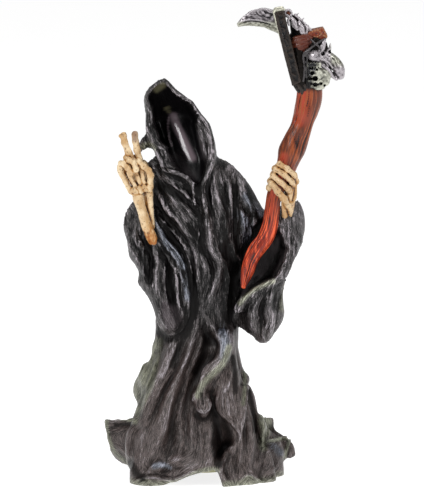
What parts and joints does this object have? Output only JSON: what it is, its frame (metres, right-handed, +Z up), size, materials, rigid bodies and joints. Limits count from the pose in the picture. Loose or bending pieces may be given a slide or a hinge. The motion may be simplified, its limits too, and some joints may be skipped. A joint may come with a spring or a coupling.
{
  "type": "grim reaper figurine",
  "caption": "Standing hooded skeleton figure in a draped robe, one hand raised in a V sign and the other holding a tall scythe with a carved head.",
  "frame": {"origin": "centre of the front-to-back middle of the figure on the ground plane, on the level that the pad and the hem rest on", "axes": "+Z up, the figure faces -Y, and its left hand with the scythe is towards +X"},
  "size_m": [0.1497, 0.0878, 0.2996],
  "materials": {
    "robe_paint": "cast resin painted near black, dry-brushed mauve grey on the folds, satin varnish",
    "bone_paint": "cast resin painted ivory with an amber brown wash in the joints",
    "wood_paint": "cast resin painted red brown with orange red grain, satin varnish",
    "silver_paint": "cast resin painted silver with a black wash",
    "pad_plastic": "pale matte pad under the hem"
  },
  "bodies": {
    "root": {"robed_figure": "robe_paint", "scythe": "wood_paint", "base_pad": "pad_plastic"}
  },
  "joints": []
}
